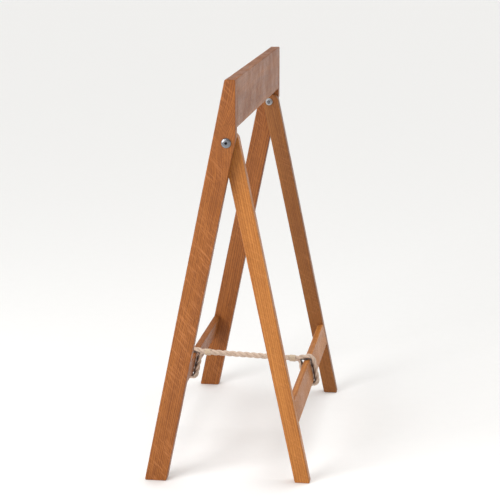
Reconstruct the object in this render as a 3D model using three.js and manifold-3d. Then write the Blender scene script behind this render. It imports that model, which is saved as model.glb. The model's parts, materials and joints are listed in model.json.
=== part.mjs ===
// A folding sawhorse (trestle) in oiled oak: an outer frame that carries a top rail, a slimmer inner frame
// that swings on two bolts just under the rail, and a rope between the two low stretchers that stops the legs
// spreading. Millimetres. +X runs across the feet, +Y along the rail, +Z up. The origin is on the floor, in
// the middle of the footprint. The outer legs stand on the -X side and the inner legs on the +X side.
import * as THREE from "three";
import { mergeVertices } from "three/addons/utils/BufferGeometryUtils.js";
import Module from "manifold-3d";

const wasm = await Module();
wasm.setup();

// ---- Driving dimensions ----

const HEIGHT = 710; // floor to the top of the rail
const LENGTH = 600; // over the outer faces of the outer legs
const FOOT = 145.3; // from the middle to the outermost corner of either foot
const BOARD = 20; // thickness of every leg, along Y
const LAYER = 22; // from an outer leg's face to the same face of the inner leg: the leg and its spacer
const GAP = 0.3; // clearance between two pieces that touch
const PAST = 1; // how far a cutting tool reaches past the face that it cuts
const CORNER = 2.5; // rounding of a leg's sawn corners
const EASE = 1.2; // rounding of a leg's long edges
const ARRIS = 1.8; // rounding of the long edges of the rail and the stretchers

const OUTER = { slope: 0.204, width: 38.5 }; // dx/dz of both edges, and the width along the floor
const INNER = { slope: 0.2065, width: 26.6, backSlope: 0.2137 }; // its two edges spread towards the top

// face: X of the side that lies flush with the legs' plumb cut.
const RAIL = { thick: 18, height: 83, face: 18 };
// outerZ and innerZ: Z of the middle of the outer face, in each frame.
const STRETCHER = { thick: 12, height: 42, outerZ: 131, innerZ: 125 };

const PIVOT = { x: 2.2, z: 603.6 };
const BOLT = { radius: 3, headRadius: 8.5, headHeight: 3.4, rim: 1, socketAcross: 4, socketDepth: 2.2 };
const SHAFT_HOLE = BOLT.radius + 0.35; // radius of the hole that a bolt turns in
const SPACER = { radius: 9, thick: LAYER - BOARD - 2 * GAP };
const NUT_WASHER = { radius: 7, thick: 1.2 };
const NUT = { across: 10, height: 6, crown: 1.2, shoulder: 0.6 }; // shoulder: from a flat in to the collar
const BOLT_END = 2; // how far the bolt passes through its nut

const RAIL_DOWEL = { radius: 4, inLeg: 13, inRail: 25, heights: [649, 688] };
const STRETCHER_DOWEL = { radius: 3, inLeg: 12, inBoard: 18, spacing: 20 };

// bend: radius of the rope's centreline round a stretcher's corners.
const ROPE = { radius: 5.5, bend: 8.2, sides: 12 };
const WHIPPING = { length: 10, thick: 1.3, inset: 3 };
const SPAN_STEPS = 8; // lengths that the rope between the eyes is divided into

const ROUND_SIDES = 32; // on bolts, washers and their holes
const DOWEL_SIDES = 20;
const CORNER_CURVE = 3; // half the steps round a sawn corner
const HALF_ROUND_CURVE = 10; // half the steps round the inner leg's top

// ---- Materials ----

const material = (color, roughness, metalness = 0) =>
  new THREE.MeshStandardMaterial({ color, roughness, metalness });
const OAK = material(0xb06a3e, 0.5);
const OAK_LIGHT = material(0xcd8248, 0.5);
const BEECH = material(0xd9b48a, 0.7);
const STEEL = material(0xb9bbbd, 0.3, 1);
const ROPE_FIBRE = material(0xe1d0be, 0.95);
const TWINE = material(0xcbb79b, 0.95);

// ---- Solids ----

// A closed geometry as a manifold-3d solid.
function toSolid(geometry) {
  const bare = geometry.index ? geometry.toNonIndexed() : geometry.clone();
  const position = bare.getAttribute("position");
  const merged = mergeVertices(new THREE.BufferGeometry().setAttribute("position", position), 1e-3);
  return new wasm.Manifold(
    new wasm.Mesh({
      numProp: 3,
      vertProperties: merged.attributes.position.array,
      triVerts: new Uint32Array(merged.index.array),
    }),
  );
}

function toGeometry(solid) {
  const mesh = solid.getMesh();
  const geometry = new THREE.BufferGeometry();
  geometry.setAttribute("position", new THREE.BufferAttribute(mesh.vertProperties, mesh.numProp));
  geometry.setIndex(new THREE.BufferAttribute(mesh.triVerts, 1));
  geometry.computeVertexNormals();
  return geometry;
}

function cut(geometry, tools) {
  return toGeometry(tools.reduce((left, tool) => left.subtract(toSolid(tool)), toSolid(geometry)));
}

// An outline in the XZ plane as a solid from y0 to y1. ease rounds the edges of its two flat faces, and curve
// is half the number of steps in each arc of the outline.
function board(outline, y0, y1, ease = 0, curve = CORNER_CURVE) {
  const geometry = new THREE.ExtrudeGeometry(outline, {
    depth: y1 - y0 - 2 * ease,
    bevelEnabled: ease > 0,
    bevelSize: ease,
    bevelThickness: ease,
    bevelOffset: -ease,
    bevelSegments: 2,
    curveSegments: curve,
  });
  return geometry.rotateX(Math.PI / 2).translate(0, y1 - ease, 0);
}

// A polygon with each corner rounded to the same radius.
function roundedOutline(corners, radius) {
  const shape = new THREE.Shape();
  corners.forEach((corner, i) => {
    const before = corners.at(i - 1);
    const after = corners[(i + 1) % corners.length];
    const toBefore = before.clone().sub(corner).normalize();
    const toAfter = after.clone().sub(corner).normalize();
    const half = Math.acos(toBefore.dot(toAfter)) / 2;
    const tangent = radius / Math.tan(half);
    const bisector = toBefore.clone().add(toAfter).normalize();
    const centre = bisector.multiplyScalar(radius / Math.sin(half)).add(corner);
    const start = corner.clone().addScaledVector(toBefore, tangent).sub(centre);
    const end = corner.clone().addScaledVector(toAfter, tangent).sub(centre);
    const clockwise = toBefore.cross(toAfter) > 0;
    shape.absarc(centre.x, centre.y, radius, start.angle(), end.angle(), clockwise);
  });
  shape.closePath();
  return shape;
}

const at = (x, z) => new THREE.Vector2(x, z);

// A round pin, or the tool for a round hole, along Y from y0 to y1.
function round(x, z, radius, y0, y1, sides) {
  return new THREE.CylinderGeometry(radius, radius, y1 - y0, sides).translate(x, (y0 + y1) / 2, z);
}

// A ring along Y from y0 to y1, centred on the Y axis.
function ring(inner, outer, y0, y1, sides) {
  const profile = [at(inner, y0), at(outer, y0), at(outer, y1), at(inner, y1), at(inner, y0)];
  return new THREE.LatheGeometry(profile, sides);
}

const pieces = new THREE.Group();

function add(name, geometry, look, group = pieces) {
  const mesh = new THREE.Mesh(geometry, look);
  mesh.name = name;
  group.add(mesh);
  return mesh;
}

// ---- Where things are ----

const OUTER_FACE = -LENGTH / 2; // Y of the outer face of the front outer leg; the rear is its mirror image
const RAIL_END = OUTER_FACE + BOARD; // Y where the rail and the outer stretcher meet the front outer leg
const INNER_FACE = OUTER_FACE + LAYER; // Y of the outer face of the front inner leg
const NUT_FACE = INNER_FACE + BOARD; // Y of its inner face, where the washer and nut lie

// Each stretcher leans with its legs: side is -1 for the outer frame and 1 for the inner one.
function stretcherPlace(side) {
  const slope = side < 0 ? OUTER.slope : INNER.slope;
  const z = side < 0 ? STRETCHER.outerZ : STRETCHER.innerZ;
  const lean = Math.atan(slope);
  const up = at(-side * Math.sin(lean), Math.cos(lean)); // along the legs
  const inward = at(-side * Math.cos(lean), -Math.sin(lean)); // from the outer face into the board
  const middle = at(side * (FOOT - slope * z), z).addScaledVector(inward, STRETCHER.thick / 2);
  return { side, up, inward, middle };
}

// The point that lies across from a stretcher's middle towards the other frame, and along it up the legs.
const onStretcher = (place, across, along) =>
  place.middle.clone().addScaledVector(place.inward, across).addScaledVector(place.up, along);

const OUTER_PLACE = stretcherPlace(-1);
const INNER_PLACE = stretcherPlace(1);
const stretcherDowels = (place) =>
  [-0.5, 0.5].map((share) => onStretcher(place, 0, share * STRETCHER_DOWEL.spacing));
const railDowels = RAIL_DOWEL.heights.map((z) => at(RAIL.face - RAIL.thick / 2, z));

// ---- The legs, at the front end ----

function outerLeg() {
  const innerEdge = -FOOT + OUTER.width;
  const outline = roundedOutline(
    [
      at(-FOOT, 0),
      at(innerEdge, 0),
      at(RAIL.face, (RAIL.face - innerEdge) / OUTER.slope),
      at(RAIL.face, HEIGHT),
      at(-FOOT + OUTER.slope * HEIGHT, HEIGHT),
    ],
    CORNER,
  );
  const dowelHoles = [
    ...railDowels.map((p) => [p, RAIL_DOWEL]),
    ...stretcherDowels(OUTER_PLACE).map((p) => [p, STRETCHER_DOWEL]),
  ].map(([p, dowel]) =>
    round(p.x, p.y, dowel.radius + GAP, RAIL_END - dowel.inLeg - GAP, RAIL_END + PAST, DOWEL_SIDES),
  );
  const boltHole = round(PIVOT.x, PIVOT.z, SHAFT_HOLE, OUTER_FACE - PAST, RAIL_END + PAST, ROUND_SIDES);
  return cut(board(outline, OUTER_FACE, RAIL_END, EASE), [boltHole, ...dowelHoles]);
}

// The inner leg ends in a half round under the rail, so that it can swing.
function innerLeg() {
  const frontAtPivot = FOOT - INNER.slope * PIVOT.z;
  const backAtPivot = FOOT - INNER.width - INNER.backSlope * PIVOT.z;
  const middle = (frontAtPivot + backAtPivot) / 2;
  const frontLean = Math.atan(INNER.slope);
  const backLean = Math.atan(INNER.backSlope);
  const radius = (frontAtPivot - middle) * Math.cos(frontLean);
  const outline = new THREE.Shape();
  outline.moveTo(FOOT - INNER.width + CORNER, 0);
  outline.lineTo(FOOT - CORNER, 0);
  outline.quadraticCurveTo(FOOT, 0, FOOT - CORNER * INNER.slope, CORNER);
  outline.absarc(middle, PIVOT.z, radius, frontLean, Math.PI + backLean, false);
  outline.lineTo(FOOT - INNER.width - CORNER * INNER.backSlope, CORNER);
  outline.quadraticCurveTo(FOOT - INNER.width, 0, FOOT - INNER.width + CORNER, 0);
  const blindEnd = NUT_FACE - STRETCHER_DOWEL.inLeg - GAP;
  const dowelHoles = stretcherDowels(INNER_PLACE).map((p) =>
    round(p.x, p.y, STRETCHER_DOWEL.radius + GAP, blindEnd, NUT_FACE + PAST, DOWEL_SIDES),
  );
  const boltHole = round(PIVOT.x, PIVOT.z, SHAFT_HOLE, INNER_FACE - PAST, NUT_FACE + PAST, ROUND_SIDES);
  const leg = board(outline, INNER_FACE, NUT_FACE, EASE, HALF_ROUND_CURVE);
  return cut(leg, [boltHole, ...dowelHoles]);
}

// ---- The pivot at the front end; each piece is made on the Y axis and then moved to the pivot ----

const HEAD_BACK = OUTER_FACE - GAP;
const SPACER_FRONT = RAIL_END + GAP;
const WASHER_FRONT = NUT_FACE + GAP;
const NUT_FRONT = WASHER_FRONT + NUT_WASHER.thick + GAP;

// A hexagonal prism along Y, the given size across its flats.
function hexagon(across, y0, y1) {
  return round(0, 0, across / 2 / Math.cos(Math.PI / 6), y0, y1, 6);
}

// A flat round head with a softened rim and a hexagon socket, on a plain shank.
function bolt() {
  const top = HEAD_BACK - BOLT.headHeight;
  const end = NUT_FRONT + NUT.height + BOLT_END;
  const rim = [0, 0.25, 0.5, 0.75, 1].map((share) => {
    const turn = (share * Math.PI) / 2;
    return at(BOLT.headRadius - BOLT.rim * (1 - Math.sin(turn)), top + BOLT.rim * (1 - Math.cos(turn)));
  });
  const profile = [
    at(0, top),
    ...rim,
    at(BOLT.headRadius, HEAD_BACK),
    at(BOLT.radius, HEAD_BACK),
    at(BOLT.radius, end - BOLT.rim),
    at(BOLT.radius - BOLT.rim / 2, end),
    at(0, end),
  ];
  const socket = hexagon(BOLT.socketAcross, top - PAST, top + BOLT.socketDepth);
  return cut(new THREE.LatheGeometry(profile, ROUND_SIDES), [socket]);
}

// A hexagon nut with a low round collar, which holds its locking insert, on the side away from the leg.
function nut() {
  const collarTop = NUT_FRONT + NUT.height;
  const hexTop = collarTop - NUT.crown;
  const collar = round(0, 0, NUT.across / 2 - NUT.shoulder, hexTop - PAST, collarTop, ROUND_SIDES);
  const body = toSolid(hexagon(NUT.across, NUT_FRONT, hexTop)).add(toSolid(collar));
  const hole = round(0, 0, SHAFT_HOLE, NUT_FRONT - PAST, collarTop + PAST, ROUND_SIDES);
  return toGeometry(body.subtract(toSolid(hole)));
}

const washer = (size, y) => ring(SHAFT_HOLE, size.radius, y, y + size.thick, ROUND_SIDES);

// ---- The end of the trestle, built once at the front and mirrored to the rear ----

function trestleEnd(end) {
  const group = new THREE.Group();
  add(`outer_leg_${end}`, outerLeg(), OAK, group);
  add(`inner_leg_${end}`, innerLeg(), OAK_LIGHT, group);

  const pivot = new THREE.Group();
  pivot.position.set(PIVOT.x, 0, PIVOT.z);
  add(`pivot_bolt_${end}`, bolt(), STEEL, pivot);
  add(`pivot_spacer_${end}`, washer(SPACER, SPACER_FRONT), STEEL, pivot);
  add(`nut_washer_${end}`, washer(NUT_WASHER, WASHER_FRONT), STEEL, pivot);
  add(`pivot_nut_${end}`, nut(), STEEL, pivot);
  group.add(pivot);

  const addDowels = (name, places, dowel, face, inBoard) =>
    places.forEach((p, i) => {
      const length = dowel.inLeg + inBoard;
      const pin = add(
        `${name}_${end}_${["lower", "upper"][i]}`,
        new THREE.CylinderGeometry(dowel.radius, dowel.radius, length, DOWEL_SIDES),
        BEECH,
        group,
      );
      pin.position.set(p.x, face + (inBoard - dowel.inLeg) / 2, p.y);
    });
  addDowels("rail_dowel", railDowels, RAIL_DOWEL, RAIL_END, RAIL_DOWEL.inRail);
  addDowels(
    "outer_stretcher_dowel",
    stretcherDowels(OUTER_PLACE),
    STRETCHER_DOWEL,
    RAIL_END,
    STRETCHER_DOWEL.inBoard,
  );
  addDowels(
    "inner_stretcher_dowel",
    stretcherDowels(INNER_PLACE),
    STRETCHER_DOWEL,
    NUT_FACE,
    STRETCHER_DOWEL.inBoard,
  );
  return group;
}

const front = trestleEnd("front");
const rear = trestleEnd("rear");
rear.scale.y = -1;
pieces.add(front, rear);

// ---- The boards that join the two ends ----

// A board along Y between two legs' faces, with blind dowel holes in both ends.
function crossBoard(corners, legFace, dowelPlaces, dowelRadius, holeDepth) {
  const end = -legFace - GAP;
  const holes = dowelPlaces.flatMap((p) => [
    round(p.x, p.y, dowelRadius + GAP, end - holeDepth, end + PAST, DOWEL_SIDES),
    round(p.x, p.y, dowelRadius + GAP, -end - PAST, -end + holeDepth, DOWEL_SIDES),
  ]);
  return cut(board(roundedOutline(corners, ARRIS), -end, end), holes);
}

const railBack = RAIL.face - RAIL.thick;
const railFoot = HEIGHT - RAIL.height;
const railSection = [
  at(railBack, railFoot),
  at(RAIL.face, railFoot),
  at(RAIL.face, HEIGHT),
  at(railBack, HEIGHT),
];
add(
  "top_rail",
  crossBoard(railSection, RAIL_END, railDowels, RAIL_DOWEL.radius, RAIL_DOWEL.inRail + GAP),
  OAK,
);

function stretcher(place, legFace) {
  const halfThick = STRETCHER.thick / 2;
  const halfHeight = STRETCHER.height / 2;
  const section = [
    onStretcher(place, -halfThick, -halfHeight),
    onStretcher(place, halfThick, -halfHeight),
    onStretcher(place, halfThick, halfHeight),
    onStretcher(place, -halfThick, halfHeight),
  ];
  if (place.side > 0) section.reverse();
  const depth = STRETCHER_DOWEL.inBoard + GAP;
  return crossBoard(section, legFace, stretcherDowels(place), STRETCHER_DOWEL.radius, depth);
}
add("outer_stretcher", stretcher(OUTER_PLACE, RAIL_END), OAK);
add("inner_stretcher", stretcher(INNER_PLACE, NUT_FACE), OAK_LIGHT);

// ---- The tie rope: an eye hugs each stretcher, and the span runs between the tops of the two eyes ----

const EYE_ACROSS = STRETCHER.thick / 2 + ROPE.radius + GAP; // half the width of the eye's centreline
const EYE_ALONG = STRETCHER.height / 2 + ROPE.radius + GAP; // half its height
const THROAT = EYE_ACROSS + ROPE.radius + 3 * GAP; // from a stretcher's middle to where the span starts

// The eye's centreline, a rounded rectangle in the plane y = 0.
function eyeRoute(place) {
  const corners = [
    [1, 1],
    [-1, 1],
    [-1, -1],
    [1, -1],
  ];
  const points = corners.flatMap(([a, b], i) =>
    [0, 1, 2, 3].map((k) => {
      const turn = ((i + k / 3) * Math.PI) / 2;
      const across = a * (EYE_ACROSS - ROPE.bend) + ROPE.bend * Math.cos(turn);
      const along = b * (EYE_ALONG - ROPE.bend) + ROPE.bend * Math.sin(turn);
      return onStretcher(place, across, along);
    }),
  );
  return place.side < 0 ? points : points.reverse();
}

// A closed tube along a flat loop of points, which runs anticlockwise as seen from the front.
function tubeLoop(route) {
  const positions = [];
  const index = [];
  route.forEach((p, i) => {
    const nextPoint = route[(i + 1) % route.length];
    const before = p.clone().sub(route.at(i - 1)).normalize();
    const after = nextPoint.clone().sub(p).normalize();
    const along = before.add(after).normalize();
    const here = i * ROPE.sides;
    const there = ((i + 1) % route.length) * ROPE.sides;
    for (let k = 0; k < ROPE.sides; k++) {
      const turn = (2 * Math.PI * k) / ROPE.sides;
      const out = ROPE.radius * Math.cos(turn);
      positions.push(p.x + out * along.y, ROPE.radius * Math.sin(turn), p.y - out * along.x);
      const next = (k + 1) % ROPE.sides;
      index.push(here + k, here + next, there + k, there + k, here + next, there + next);
    }
  });
  const geometry = new THREE.BufferGeometry();
  geometry.setAttribute("position", new THREE.Float32BufferAttribute(positions, 3));
  geometry.setIndex(index);
  geometry.computeVertexNormals();
  return geometry;
}

add("rope_eye_outer", tubeLoop(eyeRoute(OUTER_PLACE)), ROPE_FIBRE);
add("rope_eye_inner", tubeLoop(eyeRoute(INNER_PLACE)), ROPE_FIBRE);

// The span and its whippings are made along Y and then turned to run from throat to throat.
const throats = [OUTER_PLACE, INNER_PLACE].map((place) => onStretcher(place, THROAT, EYE_ALONG));
const span = throats[1].clone().sub(throats[0]);
const tie = new THREE.Group();
tie.position.set(throats[0].x, 0, throats[0].y);
tie.quaternion.setFromUnitVectors(
  new THREE.Vector3(0, 1, 0),
  new THREE.Vector3(span.x, 0, span.y).normalize(),
);
pieces.add(tie);

add(
  "rope_span",
  new THREE.CylinderGeometry(ROPE.radius, ROPE.radius, span.length(), ROPE.sides, SPAN_STEPS),
  ROPE_FIBRE,
  tie,
).position.y = span.length() / 2;

function whipping(start) {
  const inner = ROPE.radius + GAP;
  return ring(inner, inner + WHIPPING.thick, start, start + WHIPPING.length, DOWEL_SIDES);
}
add("whipping_outer", whipping(WHIPPING.inset), TWINE, tie);
add("whipping_inner", whipping(span.length() - WHIPPING.inset - WHIPPING.length), TWINE, tie);

export default pieces;
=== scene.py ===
"""Looks for a folding oak sawhorse: oiled oak, polished bolts and a laid tie rope.

Everything is in metres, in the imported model's own frame: +X across the feet, +Y along the top rail, +Z up.
"""

import json
import math

import bmesh
import bpy
import numpy as np
from mathutils import Euler, Matrix, Vector


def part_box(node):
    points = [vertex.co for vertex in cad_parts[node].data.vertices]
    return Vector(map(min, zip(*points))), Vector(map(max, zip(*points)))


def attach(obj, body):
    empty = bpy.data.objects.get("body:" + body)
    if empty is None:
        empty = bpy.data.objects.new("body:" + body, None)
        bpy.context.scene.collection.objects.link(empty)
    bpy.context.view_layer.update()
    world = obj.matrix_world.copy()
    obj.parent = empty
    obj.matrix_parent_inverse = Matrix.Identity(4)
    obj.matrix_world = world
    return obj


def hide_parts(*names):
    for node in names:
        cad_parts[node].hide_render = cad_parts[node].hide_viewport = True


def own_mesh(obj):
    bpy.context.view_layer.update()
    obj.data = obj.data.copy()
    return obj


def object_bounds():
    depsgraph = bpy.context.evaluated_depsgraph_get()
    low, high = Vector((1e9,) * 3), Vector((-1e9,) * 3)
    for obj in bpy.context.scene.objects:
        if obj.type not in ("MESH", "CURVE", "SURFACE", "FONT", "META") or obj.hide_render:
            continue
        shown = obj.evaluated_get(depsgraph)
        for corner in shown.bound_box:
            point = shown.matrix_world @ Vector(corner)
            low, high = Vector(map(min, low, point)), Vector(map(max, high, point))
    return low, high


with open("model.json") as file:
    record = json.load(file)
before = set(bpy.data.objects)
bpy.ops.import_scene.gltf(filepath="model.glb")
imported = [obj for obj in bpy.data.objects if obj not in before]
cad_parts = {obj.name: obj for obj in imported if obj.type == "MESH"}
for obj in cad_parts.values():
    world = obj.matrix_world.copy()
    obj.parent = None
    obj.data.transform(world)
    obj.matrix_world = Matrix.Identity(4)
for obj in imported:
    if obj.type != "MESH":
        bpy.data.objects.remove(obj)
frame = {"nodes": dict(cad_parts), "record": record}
NODES = frame["nodes"]
CAD_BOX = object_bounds()
FOLD = frame["record"]["behaviour"]["joints"][0]
PIVOT = Vector(FOLD["pos_m"])
ENDS = ("front", "rear")

# ---- Camera ----

CAMERA_PLACE = Vector((0.421, -2.964, 1.013))
CAMERA_LENS = 117


def make_camera():
    data = bpy.data.cameras.new("camera")
    data.lens = CAMERA_LENS
    data.clip_end = 100
    camera = bpy.data.objects.new("camera", data)
    bpy.context.scene.collection.objects.link(camera)
    camera.location = CAMERA_PLACE
    target = (CAD_BOX[0] + CAD_BOX[1]) / 2
    camera.rotation_euler = (target - CAMERA_PLACE).to_track_quat("-Z", "Y").to_euler()
    bpy.context.scene.camera = camera


make_camera()

# ---- Meshes ----


def make_object(name, vertices, faces, material=None, attributes=()):
    """A smooth mesh object; attributes are (name, an array of one vector for each vertex)."""
    mesh = bpy.data.meshes.new(name)
    mesh.from_pydata([tuple(v) for v in vertices], [], [tuple(f) for f in faces])
    for key, values in attributes:
        mesh.attributes.new(key, "FLOAT_VECTOR", "POINT").data.foreach_set(
            "vector", np.asarray(values, np.float32).ravel()
        )
    mesh.shade_smooth()
    mesh.update()
    obj = bpy.data.objects.new(name, mesh)
    bpy.context.scene.collection.objects.link(obj)
    if material:
        mesh.materials.append(material)
    return obj


def tube_faces(rings, sides, start=0):
    """The quads and end caps of a tube whose vertices are listed ring by ring."""
    faces = []
    for i in range(rings - 1):
        for k in range(sides):
            a, b = start + i * sides + k, start + i * sides + (k + 1) % sides
            faces.append((a, b, b + sides, a + sides))
    faces.append(tuple(start + k for k in reversed(range(sides))))
    faces.append(tuple(start + (rings - 1) * sides + k for k in range(sides)))
    return faces


# ---- Node graphs ----


class Graph:
    """Short ways to add and join the nodes of a node tree."""

    def __init__(self, tree):
        self.tree = tree

    def add(self, kind, inputs=None, **settings):
        node = self.tree.nodes.new(kind)
        for key, value in settings.items():
            setattr(node, key, value)
        for key, value in (inputs or {}).items():
            self.set(node.inputs[key], value)
        return node

    def set(self, socket, value):
        if isinstance(value, bpy.types.NodeSocket):
            self.tree.links.new(value, socket)
        else:
            socket.default_value = value

    def math(self, operation, a, b=0.0, clamp=False):
        node = self.add("ShaderNodeMath", {0: a, 1: b}, operation=operation, use_clamp=clamp)
        return node.outputs[0]

    def vector(self, operation, a, b=(0, 0, 0)):
        return self.add("ShaderNodeVectorMath", {0: a, 1: b}, operation=operation).outputs[0]

    def noise(self, vector, scale, detail=2.0, roughness=0.5, stretch=(1, 1, 1)):
        stretched = self.vector("MULTIPLY", vector, stretch)
        inputs = {"Vector": stretched, "Scale": scale, "Detail": detail, "Roughness": roughness}
        return self.add("ShaderNodeTexNoise", inputs)

    def ramp(self, value, low, high, to_low=0.0, to_high=1.0):
        """value from low to high, eased, as to_low to to_high."""
        inputs = {"Value": value, "From Min": low, "From Max": high, "To Min": to_low, "To Max": to_high}
        return self.add("ShaderNodeMapRange", inputs, interpolation_type="SMOOTHSTEP").outputs[0]

    def mix(self, share, a, b):
        """Colour a turned into colour b by a share."""
        return self.add("ShaderNodeMix", {0: share, 6: a, 7: b}, data_type="RGBA").outputs[2]

    def bump(self, shader, height, strength, distance):
        inputs = {"Height": height, "Strength": strength, "Distance": distance}
        self.set(shader.inputs["Normal"], self.add("ShaderNodeBump", inputs).outputs[0])


def linear(red, green, blue):
    """A display colour, each part from 0 to 255, as the linear colour that sockets hold."""
    parts = [c / 255 for c in (red, green, blue)]
    return (*(c / 12.92 if c <= 0.04045 else ((c + 0.055) / 1.055) ** 2.4 for c in parts), 1.0)


def shade(colour, scale, lift=0.0):
    """A linear colour made darker or paler."""
    return tuple(c * scale + lift for c in colour[:3]) + (1.0,)


def new_material(name):
    material = bpy.data.materials.new(name)
    material.use_nodes = True
    graph = Graph(material.node_tree)
    return material, graph, material.node_tree.nodes["Principled BSDF"]


# ---- Oak ----

RING_WIDTH = 0.0034
WAVE_PERIODS = 20 / (2 * math.pi)  # waves per unit of a wave texture at scale 1
SWIRL_RADIUS = 0.03
SWIRL_PUSH = 0.011  # how far a swirl moves the rings at its middle
SWIRL_LENGTHWISE = 0.38  # its width as a share of its length along the grain
WANDER = 0.03  # how far the rings wander along a board
FLECK_SLANT = math.radians(52)
FAR_OFF = Vector((9, 9, 9))  # where the swirl of a board without one lies


def bent_grain(g, point, swirl):
    """The point, moved so that straight rings come out wandering, and pushed aside round the swirl."""
    to_swirl = g.vector("MULTIPLY", g.vector("SUBTRACT", point, swirl), (1, 0, SWIRL_LENGTHWISE))
    away = g.add("ShaderNodeVectorMath", {0: to_swirl}, operation="LENGTH").outputs["Value"]
    push = g.math("MULTIPLY", g.ramp(away, 0.0, SWIRL_RADIUS, 1.0, 0.0), SWIRL_PUSH)
    pushed = g.add("ShaderNodeCombineXYZ", {"X": push, "Y": push}).outputs[0]
    slow = g.noise(point, 9, detail=2, stretch=(1, 1, 0.14)).outputs["Color"]
    wander = g.vector("MULTIPLY", g.vector("SUBTRACT", slow, (0.5, 0.5, 0.5)), (WANDER, WANDER, 0))
    return g.vector("ADD", g.vector("ADD", point, wander), pushed)


def growth_rings(g, bent):
    inputs = {
        "Vector": g.vector("MULTIPLY", bent, (1, 1, 0.03)),
        "Scale": 1 / (RING_WIDTH * WAVE_PERIODS),
        "Distortion": 5.0,
        "Detail": 3.0,
        "Detail Scale": 1.6,
        "Detail Roughness": 0.62,
    }
    settings = {"wave_type": "RINGS", "rings_direction": "Z", "wave_profile": "SAW"}
    return g.add("ShaderNodeTexWave", inputs, **settings).outputs["Fac"]


def pore_mask(g, bent, rings):
    """Pores are short open tubes: crowded where a ring starts, sparse and fine in the rest of it."""
    field = g.noise(bent, 2300, detail=1, roughness=0.4, stretch=(1, 1, 0.07)).outputs["Fac"]
    early = g.ramp(rings, 0.0, 0.45, 1.0, 0.0)
    crowding = g.math("ADD", g.math("MULTIPLY", early, 0.13), -0.05)
    return g.ramp(g.math("ADD", field, crowding), 0.6, 0.7)


def ray_mask(g, point):
    """Medullary rays: short pale flecks that cross the grain aslant, in patches."""
    turned_point = {"Vector": point, "Angle": FLECK_SLANT}
    aslant = g.add("ShaderNodeVectorRotate", turned_point, rotation_type="Y_AXIS").outputs[0]
    field = g.noise(aslant, 330, detail=3, roughness=0.6, stretch=(1, 0.4, 0.11)).outputs["Fac"]
    patches = g.noise(point, 16, detail=1, stretch=(1, 1, 0.35)).outputs["Fac"]
    return g.math("MULTIPLY", g.ramp(field, 0.51, 0.65), g.ramp(patches, 0.34, 0.56, 0.25, 1.0))


def oak_group():
    """Oak as a solid. The inputs are a point, with the grain along Z and the tree's heart on the Z axis,
    and the middle of a swirl in the rings. The outputs are masks that the oak materials colour."""
    tree = bpy.data.node_groups.new("oak_figure", "ShaderNodeTree")
    for name in ("Point", "Swirl"):
        tree.interface.new_socket(name, in_out="INPUT", socket_type="NodeSocketVector")
    for name in ("Rings", "Bands", "Pores", "Rays", "Height"):
        tree.interface.new_socket(name, in_out="OUTPUT", socket_type="NodeSocketFloat")
    g = Graph(tree)
    given = g.add("NodeGroupInput").outputs
    bent = bent_grain(g, given["Point"], given["Swirl"])
    rings = growth_rings(g, bent)
    bands = g.noise(bent, 46, detail=4, roughness=0.6, stretch=(1, 1, 0.045)).outputs["Fac"]
    streaks = g.noise(bent, 420, detail=3, roughness=0.65, stretch=(1, 1, 0.03)).outputs["Fac"]
    pores = pore_mask(g, bent, rings)
    rays = ray_mask(g, given["Point"])
    height = g.math("SUBTRACT", g.math("MULTIPLY", rays, 0.25), pores)
    height = g.math("ADD", height, g.math("MULTIPLY", streaks, 0.35))
    figure = g.math("ADD", g.math("MULTIPLY", rings, 0.45), g.math("MULTIPLY", streaks, 0.55))
    masks = {"Rings": figure, "Bands": bands, "Pores": pores, "Rays": rays, "Height": height}
    g.add("NodeGroupOutput", masks)
    return tree


OAK_FIGURE = oak_group()


def wood_colour(g, figure, pale, deep, flecks):
    rings = g.math("MULTIPLY", figure["Rings"], 0.55)
    tone = g.math("ADD", rings, g.math("MULTIPLY", figure["Bands"], 0.45))
    colour = g.mix(g.ramp(tone, 0.3, 0.68), pale, deep)
    colour = g.mix(g.math("MULTIPLY", figure["Pores"], 0.55), colour, shade(deep, 0.42))
    return g.mix(g.math("MULTIPLY", figure["Rays"], flecks), colour, shade(pale, 1.25, 0.028))


def worn_edges(g, coords):
    """A mask of the arrises, where handling has darkened the wood."""
    bevel = g.add("ShaderNodeBevel", {"Radius": 0.0022}, samples=4).outputs[0]
    normal = g.add("ShaderNodeNewGeometry").outputs["Normal"]
    facing = g.add("ShaderNodeVectorMath", {0: bevel, 1: normal}, operation="DOT_PRODUCT")
    scuffs = g.noise(coords, 120, detail=3).outputs["Fac"]
    edge = g.ramp(facing.outputs["Value"], 0.97, 0.72)
    return g.math("MULTIPLY", edge, g.ramp(scuffs, 0.3, 0.6, 0.4, 1.0))


def wood_roughness(g, coords, figure):
    smudges = g.noise(coords, 26, detail=4, roughness=0.6).outputs["Fac"]
    roughness = g.ramp(smudges, 0.3, 0.7, 0.36, 0.5)
    roughness = g.math("ADD", roughness, g.math("MULTIPLY", figure["Pores"], 0.22))
    return g.math("SUBTRACT", roughness, g.math("MULTIPLY", figure["Rays"], 0.08), clamp=True)


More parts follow.
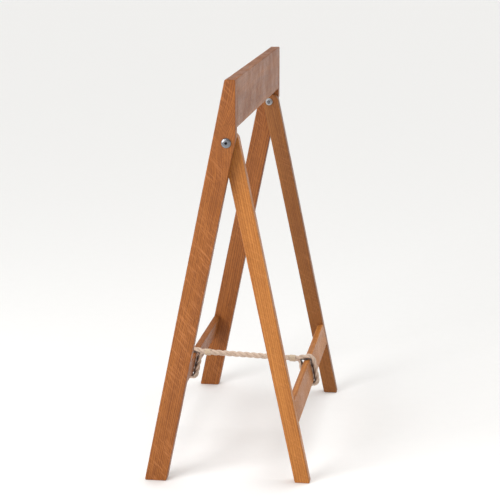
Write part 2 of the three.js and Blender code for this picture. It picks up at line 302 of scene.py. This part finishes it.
def wood_material(name, grain, centre, heart, colours, flecks, swirl=None, wear=0.45):
    """Oiled wood. grain is an Euler turn that takes the piece's length to Z, centre the middle of the
    piece, heart where its middle lies from the tree's heart, colours the pale and the deep one that the
    figure mixes, flecks how clearly the rays show, and wear how dark the arrises are."""
    material, g, shader = new_material(name)
    turn = Euler(grain).to_matrix()
    shift = Vector(heart) - turn @ Vector(centre)
    coords = g.add("ShaderNodeTexCoord").outputs["Object"]
    placed = {"Vector": coords, "Location": tuple(shift), "Rotation": tuple(grain)}
    group = g.add("ShaderNodeGroup", node_tree=OAK_FIGURE)
    g.set(group.inputs["Point"], g.add("ShaderNodeMapping", placed).outputs[0])
    g.set(group.inputs["Swirl"], tuple(turn @ Vector(swirl) + shift if swirl else FAR_OFF))
    figure = group.outputs

    pale, deep = colours
    colour = wood_colour(g, figure, pale, deep, flecks)
    colour = g.mix(g.math("MULTIPLY", worn_edges(g, coords), wear), colour, shade(deep, 0.55))
    g.set(shader.inputs["Base Color"], colour)
    g.set(shader.inputs["Roughness"], wood_roughness(g, coords, figure))
    shader.inputs["Specular IOR Level"].default_value = 0.3
    g.bump(shader, figure["Height"], 0.45, 0.00016)
    return material


# The pale and the deep colour of each wood.
RED_OAK = (linear(164, 98, 40), linear(120, 64, 21))
GOLD_OAK = (linear(192, 124, 57), linear(152, 89, 34))
# Painted shade: a darker copy of the oak for the rear inner leg, as if a table top shaded it.
SHADED_OAK = (linear(154, 97, 44), linear(118, 67, 26))
BEECH = (linear(222, 186, 145), linear(196, 154, 112))

OUTER_LEAN = math.atan(0.204)
INNER_LEAN = -math.atan(0.21)
# The turn that takes a board's length, Y, to Z and its wide face, YZ, to XZ.
ALONG_Y = tuple(Matrix(((0, 0, 1), (1, 0, 0), (0, 1, 0))).to_euler())
# Each piece's place in its tree and its colours, and how clearly its flecks show.
LEGS = {
    "outer_leg_front": (OUTER_LEAN, (0.055, 0.020, 0.0), RED_OAK, 0.5),
    "outer_leg_rear": (OUTER_LEAN, (-0.048, 0.034, 1.7), RED_OAK, 0.32),
    "inner_leg_front": (INNER_LEAN, (0.062, -0.012, 3.1), GOLD_OAK, 0.16),
    # The rear inner leg's darker oak is painted shade.
    "inner_leg_rear": (INNER_LEAN, (-0.058, 0.016, 4.6), SHADED_OAK, 0.2),
}
BOARDS = {
    "top_rail": ((0.066, 0.030, 6.2), RED_OAK, 0.3),
    "outer_stretcher": ((-0.041, 0.046, 7.9), RED_OAK, 0.25),
    "inner_stretcher": ((0.056, -0.031, 9.3), GOLD_OAK, 0.2),
}

WELD_DISTANCE = 1e-5
SMOOTH_UNDER = math.radians(50)  # an edge that turns less than this is a step of a rounded one


def clean_shading():
    """Geometry nodes that join a CAD node's split corners and smooth its rounded edges."""
    tree = bpy.data.node_groups.new("clean_shading", "GeometryNodeTree")
    for way in ("INPUT", "OUTPUT"):
        tree.interface.new_socket("Geometry", in_out=way, socket_type="NodeSocketGeometry")
    g = Graph(tree)
    shape = g.add("NodeGroupInput").outputs[0]
    angle = g.add("GeometryNodeInputMeshEdgeAngle").outputs["Unsigned Angle"]
    gentle = g.math("LESS_THAN", angle, SMOOTH_UNDER)
    steps = (
        ("GeometryNodeMergeByDistance", {"Distance": WELD_DISTANCE}, {}),
        ("GeometryNodeRemoveAttribute", {"Name": "custom_normal"}, {}),
        ("GeometryNodeSetShadeSmooth", {"Shade Smooth": True}, {"domain": "FACE"}),
        ("GeometryNodeSetShadeSmooth", {"Shade Smooth": gentle}, {"domain": "EDGE"}),
    )
    for kind, inputs, settings in steps:
        shape = g.add(kind, {"Geometry": shape, **inputs}, **settings).outputs[0]
    g.add("NodeGroupOutput", {0: shape})
    return tree


CLEAN_SHADING = clean_shading()


def finish_cad_node(name, material):
    obj = NODES[name]
    obj.data.materials.clear()
    obj.data.materials.append(material)
    obj.modifiers.new("clean_shading", "NODES").node_group = CLEAN_SHADING
    weighted = obj.modifiers.new("weighted", "WEIGHTED_NORMAL")
    weighted.keep_sharp = True
    weighted.weight = 100


def middle(node):
    low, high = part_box(node)
    return (low + high) / 2


def dress_wood():
    for name, (lean, heart, colours, flecks) in LEGS.items():
        centre = middle(name)
        # The rings of the outer legs swirl round the pivot.
        swirl = Vector((PIVOT.x, centre.y, PIVOT.z)) if name.startswith("outer") else None
        material = wood_material(name, (0, -lean, 0), centre, heart, colours, flecks, swirl)
        finish_cad_node(name, material)
    for name, (heart, colours, flecks) in BOARDS.items():
        material = wood_material(name, ALONG_Y, middle(name), heart, colours, flecks)
        finish_cad_node(name, material)
    beech = wood_material("beech", ALONG_Y, (0, 0, 0), (0.04, 0.03, 0), BEECH, flecks=0.2, wear=0.2)
    for name in NODES:
        if "_dowel_" in name:
            finish_cad_node(name, beech)


dress_wood()

# ---- Steel ----

# Painted shade: a near black that fills the bolt heads' sockets.
SOCKET_SHADE = linear(34, 32, 32)
HEADS_BEYOND = 0.29  # how far out along the pivot's axis the bolt heads lie, and no thread does


def in_sockets(g, centred):
    """A mask of the bolt heads' sockets, for coordinates that are measured from the pivot."""
    x, y, z = g.add("ShaderNodeSeparateXYZ", {0: centred}).outputs
    off_axis = g.math("SQRT", g.math("ADD", g.math("MULTIPLY", x, x), g.math("MULTIPLY", z, z)))
    at_ends = g.math("GREATER_THAN", g.math("ABSOLUTE", y), HEADS_BEYOND)
    return g.math("MULTIPLY", g.ramp(off_axis, 0.0026, 0.00225), at_ends)


def steel_material(name, colour, roughness, swirl_depth):
    """Polished steel with the fine turning marks of a lathe round the pivot's axis, and painted shade in the
    sockets."""
    material, g, shader = new_material(name)
    coords = g.add("ShaderNodeTexCoord").outputs["Object"]
    centred = g.vector("SUBTRACT", coords, tuple(PIVOT))
    inputs = {"Vector": centred, "Scale": 900.0, "Distortion": 1.5, "Detail": 3.0}
    marks = g.add("ShaderNodeTexWave", inputs, wave_type="RINGS", rings_direction="Y").outputs["Fac"]
    smudges = g.noise(centred, 260, detail=4).outputs["Fac"]
    tone = g.mix(g.ramp(smudges, 0.3, 0.75), colour, shade(colour, 0.8))
    # The sockets are painted dark as shade.
    g.set(shader.inputs["Base Color"], g.mix(in_sockets(g, centred), tone, SOCKET_SHADE))
    shader.inputs["Metallic"].default_value = 1.0
    g.set(shader.inputs["Roughness"], g.ramp(smudges, 0.25, 0.75, roughness, roughness + 0.14))
    g.bump(shader, marks, swirl_depth, 0.00004)
    return material


BRIGHT_STEEL = steel_material("bright_steel", linear(132, 134, 140), 0.16, 0.5)
PLAIN_STEEL = steel_material("plain_steel", linear(178, 180, 183), 0.3, 0.3)

TURN_SIDES = 96
SHARP_OVER = math.radians(35)  # an edge that turns more than this stays crisp
ROUNDING = 0.0003  # of the edges of heads, washers and holes
THREAD_PITCH = 0.001
THREAD_DEPTH = 0.00045
THREAD_LENGTH = 0.012
THREAD_STEPS = 8  # rings to a pitch
THREAD_ENDS = (0.0001, 0.0006)  # plain shank before the thread, and behind the tip
SHANK_RADIUS = 0.003
TIP_TAPER = 0.0008
HEAD_RADIUS = 0.0085
HEAD_HEIGHT = 0.0034
DOME = (0.0042, 0.0019)  # width and height of the head's rounded rim
DOME_STEPS = 15
SOCKET_ACROSS = 0.004
SOCKET_DEPTH = 0.0022
DRILL_POINT = 0.0005  # how much deeper the socket is in its middle
NUT_ACROSS = 0.010
NUT_CROWN = 0.0012  # height of the round collar that holds the locking ring
NUT_SHOULDER = 0.0006  # from a flat in to the collar
NUT_FACE_EDGE = 0.0002  # from a flat in to the nut's outer face
NUT_CORNER_START = 0.00012  # how far the turned-off corners stand out of the flats at the hexagon's ends
NUT_CORNER_SLOPE = 1.7
NUT_CORNER_STEPS = (0.0, 0.0002, 0.0004, 0.0006)
BORE_EDGE = 0.0004
HOLE_RADIUS = SHANK_RADIUS + 0.00035


def hexagon(angle, across):
    """How far a hexagon's side is from its centre in a direction."""
    side = (angle % (math.pi / 3)) - math.pi / 6
    return across / 2 / math.cos(side)


def turned_ring(radius, y):
    ring = []
    for k in range(TURN_SIDES):
        angle = 2 * math.pi * k / TURN_SIDES
        reach = radius(angle, abs(y)) if callable(radius) else radius
        ring.append((PIVOT.x + reach * math.cos(angle), y, PIVOT.z + reach * math.sin(angle)))
    return ring


def turned(name, profile, material, node):
    """A closed solid round the pivot's axis, which stands for a CAD node. profile lists (radius, y), from
    the outer end inwards; a radius may be a function of the angle and y. A profile that starts off the axis
    has a bore."""
    side = 1 if node.endswith("rear") else -1
    vertices = [p for radius, y in profile for p in turned_ring(radius, side * y)]
    faces = []
    count = len(profile)
    bored = profile[0][0] != 0
    for i in range(count if bored else count - 1):
        here, there = i * TURN_SIDES, (i + 1) % count * TURN_SIDES
        for k in range(TURN_SIDES):
            following = (k + 1) % TURN_SIDES
            faces.append((here + k, here + following, there + following, there + k))
    obj = make_object(name, vertices, faces, material)
    tidy_normals(obj)
    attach(obj, "outer_frame")
    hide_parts(node)


def tidy_normals(obj):
    """Joins the points on the axis, turns all faces out and keeps the sharper edges crisp."""
    mesh = bmesh.new()
    mesh.from_mesh(obj.data)
    bmesh.ops.remove_doubles(mesh, verts=mesh.verts, dist=1e-6)
    bmesh.ops.dissolve_degenerate(mesh, dist=1e-7, edges=mesh.edges)
    bmesh.ops.recalc_face_normals(mesh, faces=mesh.faces)
    for edge in mesh.edges:
        edge.smooth = len(edge.link_faces) == 2 and edge.calc_face_angle() < SHARP_OVER
    mesh.to_mesh(obj.data)
    mesh.free()


def along_pivot(node):
    """How far a node's outer and inner ends are from the middle of the object."""
    low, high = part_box(node)
    return (-low.y, -high.y) if node.endswith("front") else (high.y, low.y)


def socket(angle, y):
    return hexagon(angle, SOCKET_ACROSS)


def socket_mouth(angle, y):
    return hexagon(angle, SOCKET_ACROSS) + ROUNDING


def thread(angle, y):
    """The radius of a V thread."""
    turns = y / THREAD_PITCH + angle / (2 * math.pi)
    return SHANK_RADIUS - THREAD_DEPTH * abs(2 * (turns % 1) - 1)


def make_bolt(end):
    node = f"pivot_bolt_{end}"
    top, tip = along_pivot(node)
    under = top - HEAD_HEIGHT
    threaded = tip + THREAD_LENGTH
    before, behind = THREAD_ENDS
    thread_heights = np.arange(threaded - before, tip + behind, -THREAD_PITCH / THREAD_STEPS)
    profile = [
        (0, top - SOCKET_DEPTH - DRILL_POINT),
        (socket, top - SOCKET_DEPTH),
        (socket, top - ROUNDING),
        (socket_mouth, top),
    ]
    for t in np.linspace(0, math.pi / 2, DOME_STEPS):
        profile.append((HEAD_RADIUS - DOME[0] * (1 - math.sin(t)), top - DOME[1] * (1 - math.cos(t))))
    profile += [(HEAD_RADIUS, under + ROUNDING), (HEAD_RADIUS - ROUNDING, under), (SHANK_RADIUS, under)]
    profile.append((SHANK_RADIUS, threaded))
    profile += [(thread, y) for y in thread_heights]
    profile += [(SHANK_RADIUS - TIP_TAPER, tip), (0, tip)]
    turned(f"bolt_{end}", profile, BRIGHT_STEEL, node)


def make_nut(end):
    node = f"pivot_nut_{end}"
    outer, inner = along_pivot(node)
    collar = NUT_ACROSS / 2 - NUT_SHOULDER
    hex_end = inner + NUT_CROWN

    def flats(angle, y):
        """The hexagon, with its corners turned off towards its two ends."""
        turned_off = NUT_ACROSS / 2 + NUT_CORNER_START + NUT_CORNER_SLOPE * min(outer - y, y - hex_end)
        return min(hexagon(angle, NUT_ACROSS), turned_off)

    profile = [
        (HOLE_RADIUS, outer - BORE_EDGE),
        (HOLE_RADIUS + BORE_EDGE, outer),
        (NUT_ACROSS / 2 - NUT_FACE_EDGE, outer),
    ]
    profile += [(flats, outer - step) for step in NUT_CORNER_STEPS]
    profile += [(flats, hex_end + step) for step in reversed(NUT_CORNER_STEPS)]
    profile += [(collar, hex_end), (collar, inner + BORE_EDGE), (collar - BORE_EDGE, inner)]
    profile += [(HOLE_RADIUS + ROUNDING, inner), (HOLE_RADIUS, inner + ROUNDING)]
    turned(f"nut_{end}", profile, PLAIN_STEEL, node)


def make_washer(end):
    node = f"nut_washer_{end}"
    low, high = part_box(node)
    outer, inner = along_pivot(node)
    radius = (high.x - low.x) / 2
    outer_edge = [
        (HOLE_RADIUS, outer - ROUNDING),
        (HOLE_RADIUS + ROUNDING, outer),
        (radius - ROUNDING, outer),
        (radius, outer - ROUNDING),
    ]
    inner_edge = [
        (radius, inner + ROUNDING),
        (radius - ROUNDING, inner),
        (HOLE_RADIUS + ROUNDING, inner),
        (HOLE_RADIUS, inner + ROUNDING),
    ]
    turned(f"washer_{end}", outer_edge + inner_edge, PLAIN_STEEL, node)


for end in ENDS:
    make_bolt(end)
    make_nut(end)
    make_washer(end)
    finish_cad_node(f"pivot_spacer_{end}", PLAIN_STEEL)

# ---- Rope ----

ROPE_RADIUS = 0.0055
ROPE_CLEAR = 0.00035  # between the rope and the board that it hugs
ROPE_BEND = 0.0082  # radius of its centreline round a board's corners
ROPE_STEP = 0.0013  # between the rings of its mesh
BOARD_HALF = (0.006, 0.021)  # half a stretcher's thickness and half its height
INNER_STRETCHER_LEAN = math.atan(0.2065)

STRANDS = 3
LAY_LENGTH = 0.040  # the length in which a strand goes once round the rope
STRAND_RADIUS = 0.00268
STRAND_OFFSET = 0.00282  # of a strand's middle from the rope's
STRAND_SIDES = 32
YARNS = 8  # yarns that show round a strand
YARN_TURN = -2 * math.pi / 0.036
YARN_RELIEF = (0.94, 0.07)  # a strand's radius between its yarns, and how much more it is on them
YARN_ROUNDNESS = 0.6

ACROSS = BOARD_HALF[0] + ROPE_RADIUS + ROPE_CLEAR  # from a stretcher's middle to the rope beside it
ALONG = BOARD_HALF[1] + ROPE_RADIUS + ROPE_CLEAR  # and to the rope over it
THROAT = ACROSS + ROPE_RADIUS + 3 * ROPE_CLEAR  # and to where the eye's two parts meet
SPAN_START = 0.008  # and to where the part that gives way in folding starts
# The tail starts in the throat, inside the standing part, and curves down to the board's side.
# Each point is (across, along) from a stretcher's middle.
TAIL_CURVE = ((0.0176, ALONG - 0.001), (0.0131, ALONG - 0.001), (ACROSS, 0.018), (ACROSS, 0.003))
TAIL_STEPS = 12
BEND_STEPS = 9
TAPER_LENGTH = 0.022  # the tail's end thins over this length
TAIL_SHARE = 0.55  # to this share of the rope's size
TOUCHING = (0.0065, 0.0095)  # nearer a board than the first the rope presses on it, and past the second not


def stretcher_axes(side):
    """A stretcher's middle in the plane y = 0, and the directions from it to the other frame and
    upwards."""
    node, lean = ("outer_stretcher", OUTER_LEAN) if side < 0 else ("inner_stretcher", INNER_STRETCHER_LEAN)
    centre = middle(node)
    inward = Vector((-side * math.cos(lean), 0, -math.sin(lean)))
    up = Vector((-side * math.sin(lean), 0, math.cos(lean)))
    return Vector((centre.x, 0, centre.z)), inward, up


def stretcher_point(side, across, along):
    """A point in the plane y = 0: across from a stretcher's middle towards the other frame, and along it
    upwards."""
    centre, inward, up = stretcher_axes(side)
    return centre + across * inward + along * up


def from_board(route, side):
    """How far each of the route's points is from a stretcher's surface."""
    centre, inward, up = (np.array(v) for v in stretcher_axes(side))
    beyond = [np.abs((route - centre) @ way) - half for way, half in zip((inward, up), BOARD_HALF)]
    return np.hypot(*(np.maximum(b, 0) for b in beyond))


def bezier(corners, t):
    weights = ((1 - t) ** 3, 3 * t * (1 - t) ** 2, 3 * t * t * (1 - t), t**3)
    return tuple(sum(w * corner[i] for w, corner in zip(weights, corners)) for i in (0, 1))


def eye_route(side):
    """The centreline from the tail's end, round the stretcher and over its top, to the throat."""
    a, b = ACROSS - ROPE_BEND, ALONG - ROPE_BEND
    local = [bezier(TAIL_CURVE, t) for t in np.linspace(0, 1, TAIL_STEPS)]
    for x, z, start in ((a, -b, 0), (-a, -b, -90), (-a, b, -180)):
        for turn in np.linspace(math.radians(start), math.radians(start - 90), BEND_STEPS):
            local.append((x + ROPE_BEND * math.cos(turn), z + ROPE_BEND * math.sin(turn)))
    local.append((THROAT, ALONG))
    return [stretcher_point(side, float(x), float(z)) for x, z in local]


def resampled(points, step):
    points = np.array(points, float)
    along = np.concatenate([[0], np.cumsum(np.linalg.norm(np.diff(points, axis=0), axis=1))])
    at = np.linspace(0, along[-1], round(along[-1] / step) + 1)
    return np.stack([np.interp(at, along, points[:, k]) for k in range(3)], axis=1)


def averaged(line, reach):
    """The line with each point moved to the mean of its neighbours, except near its ends."""
    smooth = line.copy()
    for i in range(reach, len(line) - reach):
        smooth[i] = line[i - reach : i + reach + 1].mean(0)
    return smooth


def unit(rows):
    return rows / np.linalg.norm(rows, axis=1)[:, None]


def strands(name, line, distance, taper, hug, material):
    """Three laid strands along part of the rope's centreline. For each of its points, distance is how far
    along the rope it is, taper the share of the full size there, and hug how closely the rope presses on a
    board."""
    sideways = np.array([0.0, 1.0, 0.0])
    # In an eye, outward points away from the board.
    outward = np.cross(unit(np.gradient(line, axis=0)), sideways)
    around = np.linspace(0, 2 * math.pi, STRAND_SIDES, endpoint=False)
    spun = around + YARN_TURN * distance[:, None]
    yarn = np.abs(np.cos(spun * YARNS / 2)) ** YARN_ROUNDNESS
    reach = STRAND_RADIUS * taper[:, None] * (YARN_RELIEF[0] + YARN_RELIEF[1] * yarn)
    lengthwise = np.broadcast_to(distance[:, None], spun.shape)
    vertices, faces, places, surfaces = [], [], [], []
    for k in range(STRANDS):
        turn = 2 * math.pi * (distance / LAY_LENGTH + k / STRANDS)
        radial = np.outer(np.cos(turn), sideways) + np.sin(turn)[:, None] * outward
        centre = line + radial * (STRAND_OFFSET * taper)[:, None]
        along = unit(np.gradient(centre, axis=0))
        out = unit(radial - (radial * along).sum(1)[:, None] * along)
        third = np.cross(along, out)
        rings = centre[:, None] + (reach * np.cos(around))[..., None] * out[:, None]
        rings += (reach * np.sin(around))[..., None] * third[:, None]
        off_line = rings - line[:, None]
        groove = np.linalg.norm(off_line, axis=2) / (ROPE_RADIUS * taper[:, None])
        # Where the rope faces a board that it presses on; this darkens it as painted shade.
        board_shade = -hug[:, None] * (off_line * outward[:, None]).sum(2) / ROPE_RADIUS
        place = (spun % (2 * math.pi)) * STRAND_RADIUS + k
        faces += tube_faces(len(line), STRAND_SIDES, len(vertices))
        vertices.extend(rings.reshape(-1, 3))
        places.append(np.stack([place, lengthwise, np.zeros_like(spun)], axis=2))
        surfaces.append(np.stack([yarn, board_shade, groove], axis=2))
    return make_object(name, vertices, faces, material, [("place", places), ("surface", surfaces)])


def rope_material():
    """The place attribute is where a point lies round and along its strand; surface tells how far it stands
    out of the gaps between yarns, how hard it presses on a board, and how far it stands out of the gaps
    between strands."""
    material, g, shader = new_material("rope")
    place = g.add("ShaderNodeAttribute", attribute_name="place").outputs["Vector"]
    surface = g.add("ShaderNodeAttribute", attribute_name="surface").outputs["Vector"]
    yarn, board_shade, groove = g.add("ShaderNodeSeparateXYZ", {0: surface}).outputs
    fibres = g.noise(place, 5200, detail=3, roughness=0.7, stretch=(1, 0.05, 0)).outputs["Fac"]
    coords = g.add("ShaderNodeTexCoord").outputs["Object"]
    stains = g.noise(coords, 70, detail=4, roughness=0.6).outputs["Fac"]
    colour = g.mix(g.ramp(fibres, 0.3, 0.7), linear(216, 195, 177), linear(190, 165, 145))
    colour = g.mix(g.ramp(stains, 0.45, 0.75, 0.0, 0.45), colour, linear(186, 158, 132))
    # Painted shade: darker in the gaps between yarns, and more in the grooves between strands.
    colour = g.mix(g.ramp(yarn, 0.55, 0.05, 0.0, 0.3), colour, linear(150, 122, 96))
    colour = g.mix(g.ramp(groove, 0.82, 0.45, 0.0, 0.5), colour, linear(122, 96, 74))
    # Painted shade: the rope's inside is darkened in patches where it presses on a board.
    patchy_board_shade = g.math("ADD", board_shade, g.math("MULTIPLY", g.math("SUBTRACT", stains, 0.5), 0.5))
    colour = g.mix(g.ramp(patchy_board_shade, 0.0, 0.4, 0.0, 0.88), colour, linear(62, 44, 36))
    g.set(shader.inputs["Base Color"], colour)
    g.set(shader.inputs["Roughness"], g.ramp(fibres, 0.2, 0.8, 0.78, 0.95))
    shader.inputs["Sheen Weight"].default_value = 0.35
    shader.inputs["Sheen Roughness"].default_value = 0.5
    g.bump(shader, fibres, 0.7, 0.0002)
    return material


def make_rope():
    """One rope from tail to tail, split over the two stretchers: an eye on each frame and the span between
    them. Returns the three pieces by CAD node, and the span's centreline."""
    outer, inner = eye_route(-1), eye_route(1)
    route = averaged(resampled(outer + inner[::-1], ROPE_STEP), 1)
    distance = np.arange(len(route)) * ROPE_STEP
    ends = np.minimum(distance, distance[-1] - distance)
    taper = np.clip(TAIL_SHARE + (1 - TAIL_SHARE) * ends / TAPER_LENGTH, 0, 1)
    gap = np.minimum(from_board(route, -1), from_board(route, 1))
    hug = np.clip((TOUCHING[1] - gap) / (TOUCHING[1] - TOUCHING[0]), 0, 1)
    starts = [stretcher_point(side, SPAN_START, ALONG) for side in (-1, 1)]
    cuts = [int(np.linalg.norm(route - np.array(start), axis=1).argmin()) for start in starts]
    material = rope_material()
    parts = {
        "rope_eye_outer": (0, cuts[0], "outer_frame"),
        "rope_span": (cuts[0], cuts[1], "outer_frame"),
        "rope_eye_inner": (cuts[1], len(route) - 1, "inner_frame"),
    }
    made = {}
    for node, (a, b, body) in parts.items():
        piece = slice(a, b + 1)
        obj = strands(f"{node}_laid", route[piece], distance[piece], taper[piece], hug[piece], material)
        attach(obj, body)
        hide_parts(node)
        made[node] = obj
    return made, route[cuts[0] : cuts[1] + 1]


# ---- Whippings ----

TWINE_RADIUS = 0.0006
TWINE_SIDES = 10
TWINE_BED = 0.5 * TWINE_RADIUS  # the twine's middle lies this far out of the rope's surface
WHIPPING_TURNS = 9
WHIPPING_STEPS = 44  # a turn


def twine_material():
    material, g, shader = new_material("twine")
    coords = g.add("ShaderNodeTexCoord").outputs["Object"]
    twist = g.noise(coords, 2600, detail=3, roughness=0.6, stretch=(0.5, 1, 1)).outputs["Fac"]
    colour = g.mix(g.ramp(twist, 0.3, 0.7), linear(226, 208, 184), linear(186, 164, 136))
    g.set(shader.inputs["Base Color"], colour)
    g.set(shader.inputs["Roughness"], g.ramp(twist, 0.2, 0.8, 0.55, 0.75))
    shader.inputs["Sheen Weight"].default_value = 0.2
    g.bump(shader, twist, 0.6, 0.0002)
    return material


TWINE = twine_material()


def winding(centre, axis):
    """The centreline of twine wound round an axis, and the direction away from the axis at each of its
    points."""
    sideways = Vector((0, 1, 0))
    third = axis.cross(sideways)
    length = WHIPPING_TURNS * 2 * TWINE_RADIUS
    steps = WHIPPING_TURNS * WHIPPING_STEPS
    line, outward = [], []
    for i in range(steps + 1):
        turn = 2 * math.pi * i / WHIPPING_STEPS
        out = math.cos(turn) * sideways + math.sin(turn) * third
        line.append(centre + axis * (length * (i / steps - 0.5)) + out * (ROPE_RADIUS + TWINE_BED))
        outward.append(out)
    return line, outward


def make_whipping(node, direction):
    """Twine wound round the rope."""
    line, outward = winding(middle(node), direction.normalized())
    last = len(line) - 1
    vertices = []
    for i, (point, out) in enumerate(zip(line, outward)):
        along = (line[min(i + 1, last)] - line[max(i - 1, 0)]).normalized()
        other = along.cross(out)
        for k in range(TWINE_SIDES):
            turn = 2 * math.pi * k / TWINE_SIDES
            vertices.append(point + TWINE_RADIUS * (math.cos(turn) * out + math.sin(turn) * other))
    obj = make_object(f"{node}_twine", vertices, tube_faces(len(line), TWINE_SIDES), TWINE)
    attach(obj, "outer_frame")
    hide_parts(node)
    return obj


def tie():
    """The rope with its whippings."""
    made, span_line = make_rope()
    throats = [stretcher_point(side, THROAT, ALONG) for side in (-1, 1)]
    direction = throats[1] - throats[0]
    whippings = [make_whipping(f"whipping_{side}", direction) for side in ("outer", "inner")]
    for piece in (made["rope_span"], *whippings):
        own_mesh(piece)


tie()

# ---- Floor and light ----

FLOOR_HALF = 60
FLOOR_TONES = ((0.88, 0.88, 0.875, 1), (0.9, 0.9, 0.895, 1))
HORIZON = (0.93, 0.93, 0.925, 1)
DIM_BAND = (0.15, 0.14, 0.13, 1)  # shades the wood's gloss
OVERHEAD = (0.745, 0.737, 0.722, 1)


def make_floor():
    corners = [(x * FLOOR_HALF, y * FLOOR_HALF, 0) for x, y in ((-1, -1), (1, -1), (1, 1), (-1, 1))]
    material, g, shader = new_material("floor")
    coords = g.add("ShaderNodeTexCoord").outputs["Object"]
    speckle = g.noise(coords, 40, detail=3).outputs["Fac"]
    g.set(shader.inputs["Base Color"], g.mix(speckle, *FLOOR_TONES))
    shader.inputs["Roughness"].default_value = 0.9
    shader.inputs["Specular IOR Level"].default_value = 0.2
    make_object("floor", corners, [(0, 1, 2, 3)], material)


def make_light(name, kind, energy, place, aim=(0, 0, 0.35), **settings):
    data = bpy.data.lights.new(name, kind)
    data.energy = energy
    for key, value in settings.items():
        setattr(data, key, value)
    light = bpy.data.objects.new(name, data)
    bpy.context.scene.collection.objects.link(light)
    light.location = place
    light.rotation_euler = (Vector(aim) - Vector(place)).to_track_quat("-Z", "Y").to_euler()


def make_sky():
    """A pale sky, whose colour depends on the height above the horizon: 0 there and 1 overhead."""
    world = bpy.data.worlds.new("studio")
    bpy.context.scene.world = world
    world.use_nodes = True
    g = Graph(world.node_tree)
    direction = g.add("ShaderNodeTexCoord").outputs["Generated"]
    height = g.add("ShaderNodeSeparateXYZ", {0: direction}).outputs[2]
    low_sky = g.mix(g.ramp(height, 0.16, 0.26), HORIZON, DIM_BAND)
    background = world.node_tree.nodes["Background"]
    g.set(background.inputs["Color"], g.mix(g.ramp(height, 0.34, 0.6), low_sky, OVERHEAD))
    background.inputs["Strength"].default_value = 1.0


def light_scene():
    make_sky()
    make_light("sky", "SUN", 1.15, (0.8, 1.4, 5.0), angle=math.radians(40))
    make_light("key", "AREA", 25, (-1.0, -1.55, 1.1), shape="SQUARE", size=1.0)
    scene = bpy.context.scene
    scene.view_settings.view_transform = "Standard"
    scene.view_settings.look = "None"


make_floor()
light_scene()
